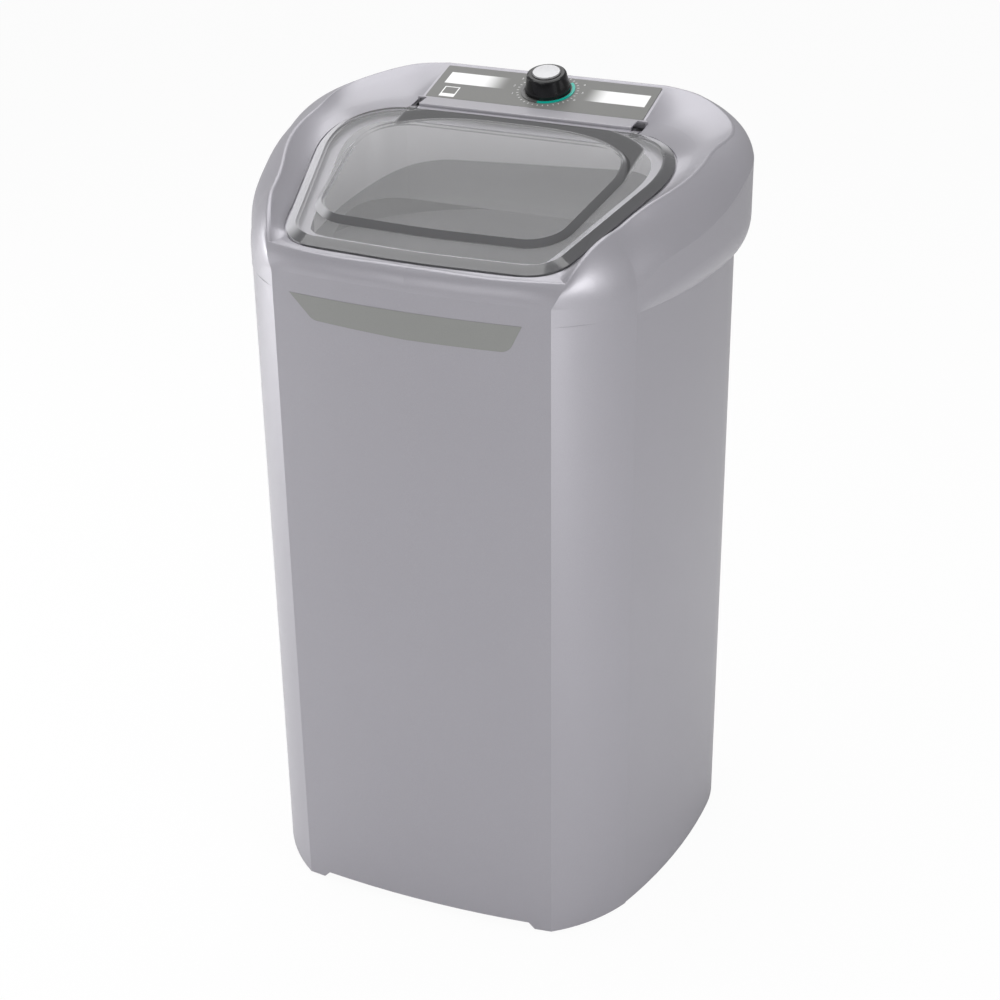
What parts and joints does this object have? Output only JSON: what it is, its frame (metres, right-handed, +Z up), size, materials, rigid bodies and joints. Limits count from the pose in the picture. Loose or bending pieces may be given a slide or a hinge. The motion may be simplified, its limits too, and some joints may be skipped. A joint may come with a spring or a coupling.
{
  "type": "semi-automatic washing machine",
  "caption": "Compact top-loading washing machine with a tapered cabinet, a hinged smoke lid over a round tub, a finned agitator and a belt drive.",
  "frame": {"origin": "on the floor, midway across the width and midway between the foremost and rearmost points of the machine", "axes": "+Z up, +Y to the back, +X to the right as seen by someone facing the front"},
  "size_m": [0.55, 0.4624, 0.9182],
  "materials": {
    "body": "satin metallic silver-grey moulding",
    "badge": "matt dark grey band",
    "label": "matt printed plate",
    "knob_black": "gloss black",
    "knob_metal": "spun bright",
    "dial_ring": "gloss",
    "lid": "smoke grey clear plastic",
    "strip": "satin",
    "tub": "satin",
    "agitator": "satin",
    "steel": "zinc plated",
    "rubber": "matt",
    "black_plastic": "matt black moulding",
    "white_plastic": "natural moulding",
    "cast": "die cast",
    "painted": "satin black",
    "copper": "varnished wire",
    "lamination": "laminated steel",
    "bronze": "sintered"
  },
  "bodies": {
    "cabinet": {"top_cover": "body", "hinge_cover": "strip", "hinge_brackets": "body", "hinge_pins": "steel", "control_label": "label", "dial_ring": "dial_ring", "timer": "black_plastic", "badge_band": "badge", "cabinet_front": "body", "cabinet_shell": "body", "rear_cover": "painted", "service_screws": "steel", "base_plate": "black_plastic", "base_rim": "black_plastic", "rubber_feet": "rubber", "tub": "tub", "bearing_housing": "cast", "bushes": "bronze", "shaft_seal": "rubber", "housing_bolts": "steel", "drive_belt": "rubber", "motor_bridge": "painted", "bridge_screws": "steel", "motor_shields": "cast", "motor_stator": "lamination", "motor_windings": "copper", "motor_bearings": "bronze", "motor_spacers": "rubber", "motor_bolts": "steel", "capacitor": "white_plastic", "capacitor_clamp": "steel", "cord_gland": "black_plastic", "drain_outlet": "black_plastic", "drain_spigot": "black_plastic", "drain_hose": "rubber", "hose_clamps": "steel", "timer_screws": "steel", "wire_harness": "rubber", "base_screws": "steel", "deck_screws": "steel"},
    "lid": {"lid": "lid", "lid_bumpers": "rubber"},
    "timer_knob": {"knob": "knob_black", "knob_cap": "knob_metal", "timer_shaft": "white_plastic"},
    "agitator": {"agitator": "agitator", "agitator_screw": "steel", "agitator_cap": "agitator", "spindle": "steel", "driven_pulley": "cast", "spindle_nut": "steel"},
    "motor_rotor": {"rotor": "lamination", "motor_shaft": "steel", "motor_pulley": "cast", "motor_fan": "white_plastic"}
  },
  "joints": [
    {"name": "lid_hinge", "type": "hinge", "parent": "cabinet", "child": "lid", "pos_m": [0, 0.115, 0.871], "axis": [-1, 0, 0], "range_deg": [0, 100]},
    {"name": "timer_turn", "type": "hinge", "parent": "cabinet", "child": "timer_knob", "pos_m": [0.004, 0.17647, 0.89002], "axis": [0, 0.2164, -0.9763], "range_deg": [0, 330]},
    {"name": "agitator_spin", "type": "hinge", "parent": "cabinet", "child": "agitator", "pos_m": [0, -0.016, 0.088], "axis": [0, 0, 1], "continuous": true},
    {"name": "motor_spin", "type": "hinge", "parent": "cabinet", "child": "motor_rotor", "pos_m": [0.108, 0.112, 0.088], "axis": [0, 0, 1], "continuous": true}
  ],
  "couplings": [
    {"joint": "motor_spin", "follows": "agitator_spin", "ratio": 5.6842}
  ]
}
